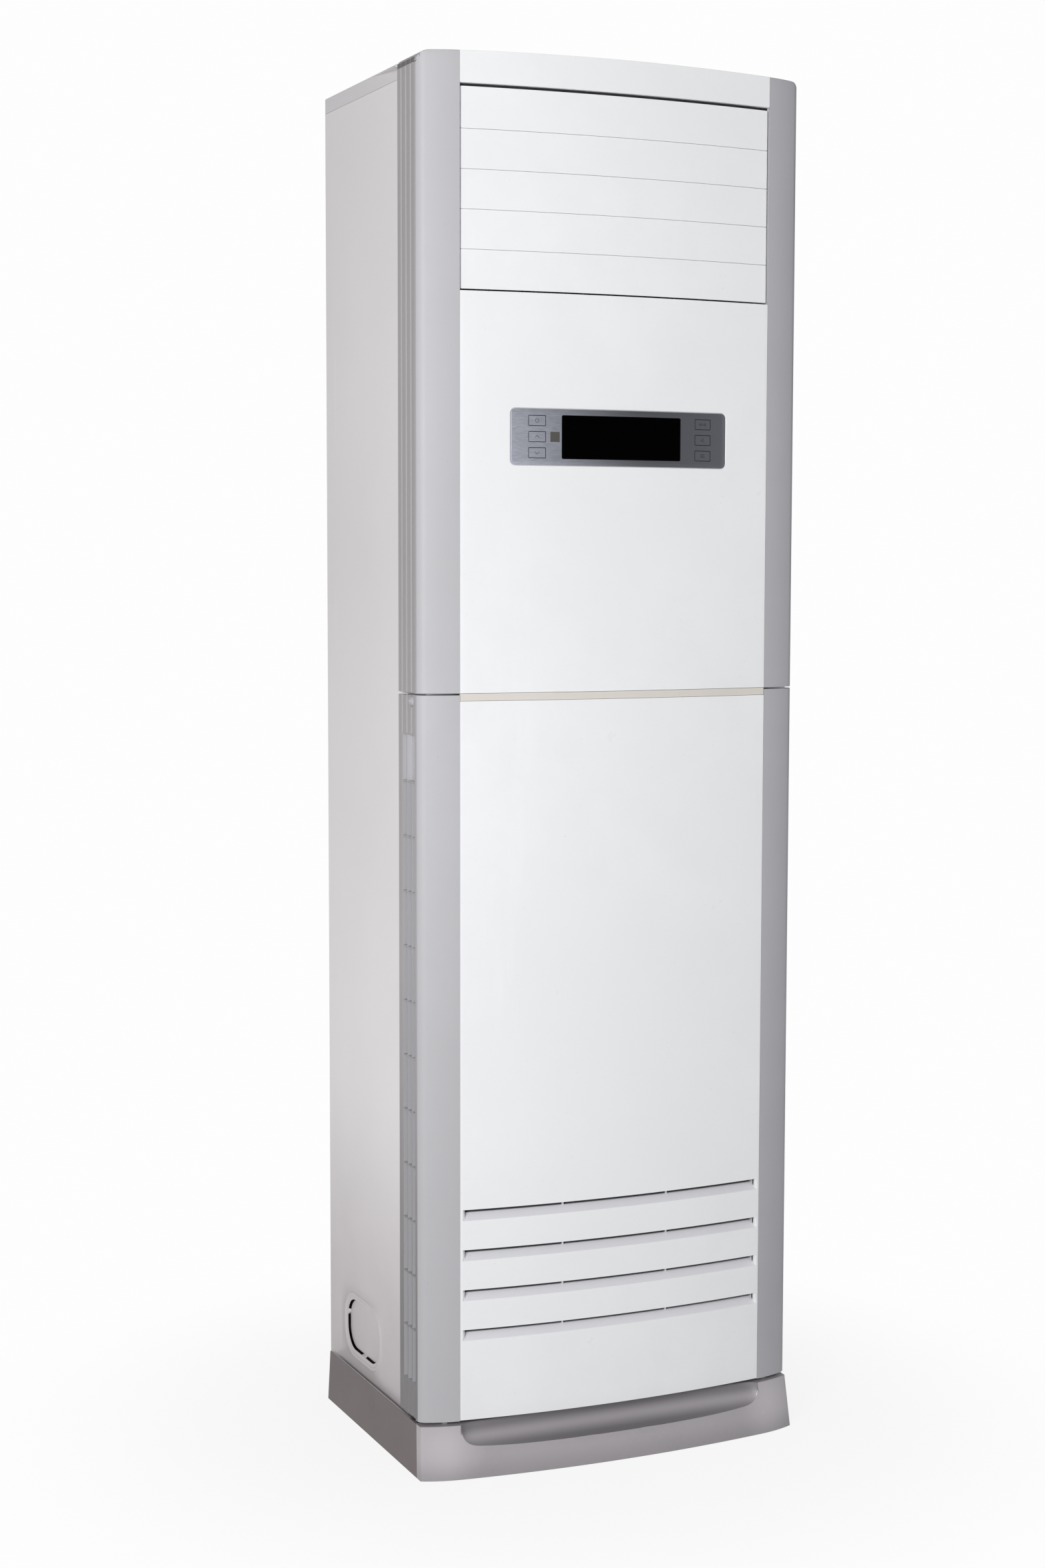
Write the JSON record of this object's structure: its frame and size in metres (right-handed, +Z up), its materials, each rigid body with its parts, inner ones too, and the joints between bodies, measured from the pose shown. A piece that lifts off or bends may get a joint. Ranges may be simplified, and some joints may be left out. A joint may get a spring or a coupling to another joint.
{
  "type": "floor standing air conditioner",
  "caption": "Tall floor standing indoor air conditioner with a bowed front, swinging louvres, a control display, side intake grilles and a scooped plinth.",
  "frame": {"origin": "on the floor, under the middle of the unit's width and depth", "axes": "+Z up, the front faces -Y, +X to the right seen from the front"},
  "size_m": [0.542, 0.41, 1.803],
  "materials": {
    "white_plastic": "satin white moulding",
    "grey_plastic": "fine satin grey moulding",
    "plinth_plastic": "fine satin grey moulding",
    "cream_plastic": "satin",
    "painted_steel": "powder coat",
    "zinc_steel": "zinc plated",
    "brushed_plate": "brushed",
    "black_window": "polished",
    "dark_plastic": "moulded",
    "copper": "drawn copper tube",
    "coil_fins": "pressed fins",
    "circuit_board": "solder mask",
    "foam": "expanded foam",
    "filter_mesh": "woven mesh in a moulded frame"
  },
  "bodies": {
    "cabinet": {"upper_front_panel": "white_plastic", "left_upper_pillar": "grey_plastic", "right_upper_pillar": "grey_plastic", "base_plinth": "plinth_plastic", "trim_strip": "cream_plastic", "left_side_panel": "painted_steel", "right_side_panel": "painted_steel", "rear_panel": "painted_steel", "top_cover": "painted_steel", "base_pan": "zinc_steel", "louvre_motor": "zinc_steel", "vane_motor": "zinc_steel", "cross_beam": "zinc_steel", "partition_plate": "zinc_steel", "motor_bracket": "zinc_steel", "blower_motor": "zinc_steel", "electric_box": "zinc_steel", "electric_box_cover": "zinc_steel", "control_plate": "brushed_plate", "display_window": "black_window", "receiver_window": "black_window", "display_board": "circuit_board", "scroll_housing": "dark_plastic", "inlet_ring": "dark_plastic", "terminal_block": "dark_plastic", "left_tube_plate": "copper", "right_tube_plate": "copper", "gas_pipe": "copper", "liquid_pipe": "copper", "evaporator_fins": "coil_fins", "outlet_duct": "foam", "drain_pan": "foam"},
    "intake_panel": {"lower_front_panel": "white_plastic", "left_lower_pillar": "grey_plastic", "right_lower_pillar": "grey_plastic", "left_panel_screw": "zinc_steel", "right_panel_screw": "zinc_steel", "left_side_filter": "filter_mesh", "right_side_filter": "filter_mesh", "slot_filter": "filter_mesh"},
    "louvre_1": {"louvre_1": "white_plastic"},
    "louvre_2": {"louvre_2": "white_plastic"},
    "louvre_3": {"louvre_3": "white_plastic"},
    "louvre_4": {"louvre_4": "white_plastic"},
    "louvre_5": {"louvre_5": "white_plastic"},
    "vane_1": {"vane_1": "dark_plastic"},
    "vane_2": {"vane_2": "dark_plastic"},
    "vane_3": {"vane_3": "dark_plastic"},
    "vane_4": {"vane_4": "dark_plastic"},
    "vane_5": {"vane_5": "dark_plastic"},
    "vane_6": {"vane_6": "dark_plastic"},
    "key_power": {"key_power": "brushed_plate"},
    "key_up": {"key_up": "brushed_plate"},
    "key_down": {"key_down": "brushed_plate"},
    "key_mode": {"key_mode": "brushed_plate"},
    "key_fan": {"key_fan": "brushed_plate"},
    "key_function": {"key_function": "brushed_plate"},
    "louvre_link": {"louvre_link": "dark_plastic"},
    "vane_link": {"vane_link": "dark_plastic"},
    "blower_wheel": {"blower_wheel": "dark_plastic"}
  },
  "joints": [
    {"name": "intake_panel_tilt", "type": "hinge", "parent": "cabinet", "child": "intake_panel", "pos_m": [0, -0.16, 0.08], "axis": [1, 0, 0], "range_deg": [0, 15]},
    {"name": "louvre_1_turn", "type": "hinge", "parent": "cabinet", "child": "louvre_1", "pos_m": [0, -0.166, 1.73175], "axis": [1, 0, 0], "range_deg": [0, 80]},
    {"name": "louvre_2_turn", "type": "hinge", "parent": "cabinet", "child": "louvre_2", "pos_m": [0, -0.166, 1.68285], "axis": [1, 0, 0], "range_deg": [0, 80]},
    {"name": "louvre_3_turn", "type": "hinge", "parent": "cabinet", "child": "louvre_3", "pos_m": [0, -0.166, 1.63395], "axis": [1, 0, 0], "range_deg": [0, 80]},
    {"name": "louvre_4_turn", "type": "hinge", "parent": "cabinet", "child": "louvre_4", "pos_m": [0, -0.166, 1.58505], "axis": [1, 0, 0], "range_deg": [0, 80]},
    {"name": "louvre_5_turn", "type": "hinge", "parent": "cabinet", "child": "louvre_5", "pos_m": [0, -0.166, 1.53615], "axis": [1, 0, 0], "range_deg": [0, 80]},
    {"name": "louvre_link_turn", "type": "hinge", "parent": "louvre_3", "child": "louvre_link", "pos_m": [-0.231, -0.153, 1.63395], "axis": [1, 0, 0], "range_deg": [-80, 0]},
    {"name": "vane_1_turn", "type": "hinge", "parent": "cabinet", "child": "vane_1", "pos_m": [-0.165, -0.115, 1.6], "axis": [0, 0, 1], "range_deg": [-35, 35]},
    {"name": "vane_2_turn", "type": "hinge", "parent": "cabinet", "child": "vane_2", "pos_m": [-0.099, -0.115, 1.6], "axis": [0, 0, 1], "range_deg": [-35, 35]},
    {"name": "vane_3_turn", "type": "hinge", "parent": "cabinet", "child": "vane_3", "pos_m": [-0.033, -0.115, 1.6], "axis": [0, 0, 1], "range_deg": [-35, 35]},
    {"name": "vane_4_turn", "type": "hinge", "parent": "cabinet", "child": "vane_4", "pos_m": [0.033, -0.115, 1.6], "axis": [0, 0, 1], "range_deg": [-35, 35]},
    {"name": "vane_5_turn", "type": "hinge", "parent": "cabinet", "child": "vane_5", "pos_m": [0.099, -0.115, 1.6], "axis": [0, 0, 1], "range_deg": [-35, 35]},
    {"name": "vane_6_turn", "type": "hinge", "parent": "cabinet", "child": "vane_6", "pos_m": [0.165, -0.115, 1.6], "axis": [0, 0, 1], "range_deg": [-35, 35]},
    {"name": "vane_link_turn", "type": "hinge", "parent": "vane_1", "child": "vane_link", "pos_m": [-0.165, -0.101, 1.539], "axis": [0, 0, 1], "range_deg": [-35, 35]},
    {"name": "blower_spin", "type": "hinge", "parent": "cabinet", "child": "blower_wheel", "pos_m": [0, 0.05, 0.56], "axis": [0, 1, 0], "continuous": true},
    {"name": "key_power_press", "type": "slide", "parent": "cabinet", "child": "key_power", "axis": [0, 1, 0], "range_m": [0, 0.0006], "stiffness_N_per_m": 400},
    {"name": "key_up_press", "type": "slide", "parent": "cabinet", "child": "key_up", "axis": [0, 1, 0], "range_m": [0, 0.0006], "stiffness_N_per_m": 400},
    {"name": "key_down_press", "type": "slide", "parent": "cabinet", "child": "key_down", "axis": [0, 1, 0], "range_m": [0, 0.0006], "stiffness_N_per_m": 400},
    {"name": "key_mode_press", "type": "slide", "parent": "cabinet", "child": "key_mode", "axis": [0, 1, 0], "range_m": [0, 0.0006], "stiffness_N_per_m": 400},
    {"name": "key_fan_press", "type": "slide", "parent": "cabinet", "child": "key_fan", "axis": [0, 1, 0], "range_m": [0, 0.0006], "stiffness_N_per_m": 400},
    {"name": "key_function_press", "type": "slide", "parent": "cabinet", "child": "key_function", "axis": [0, 1, 0], "range_m": [0, 0.0006], "stiffness_N_per_m": 400}
  ],
  "couplings": [
    {"joint": "louvre_1_turn", "follows": "louvre_3_turn", "ratio": 1},
    {"joint": "louvre_2_turn", "follows": "louvre_3_turn", "ratio": 1},
    {"joint": "louvre_4_turn", "follows": "louvre_3_turn", "ratio": 1},
    {"joint": "louvre_5_turn", "follows": "louvre_3_turn", "ratio": 1},
    {"joint": "louvre_link_turn", "follows": "louvre_3_turn", "ratio": -1},
    {"joint": "vane_2_turn", "follows": "vane_1_turn", "ratio": 1},
    {"joint": "vane_3_turn", "follows": "vane_1_turn", "ratio": 1},
    {"joint": "vane_4_turn", "follows": "vane_1_turn", "ratio": 1},
    {"joint": "vane_5_turn", "follows": "vane_1_turn", "ratio": 1},
    {"joint": "vane_6_turn", "follows": "vane_1_turn", "ratio": 1},
    {"joint": "vane_link_turn", "follows": "vane_1_turn", "ratio": -1}
  ]
}
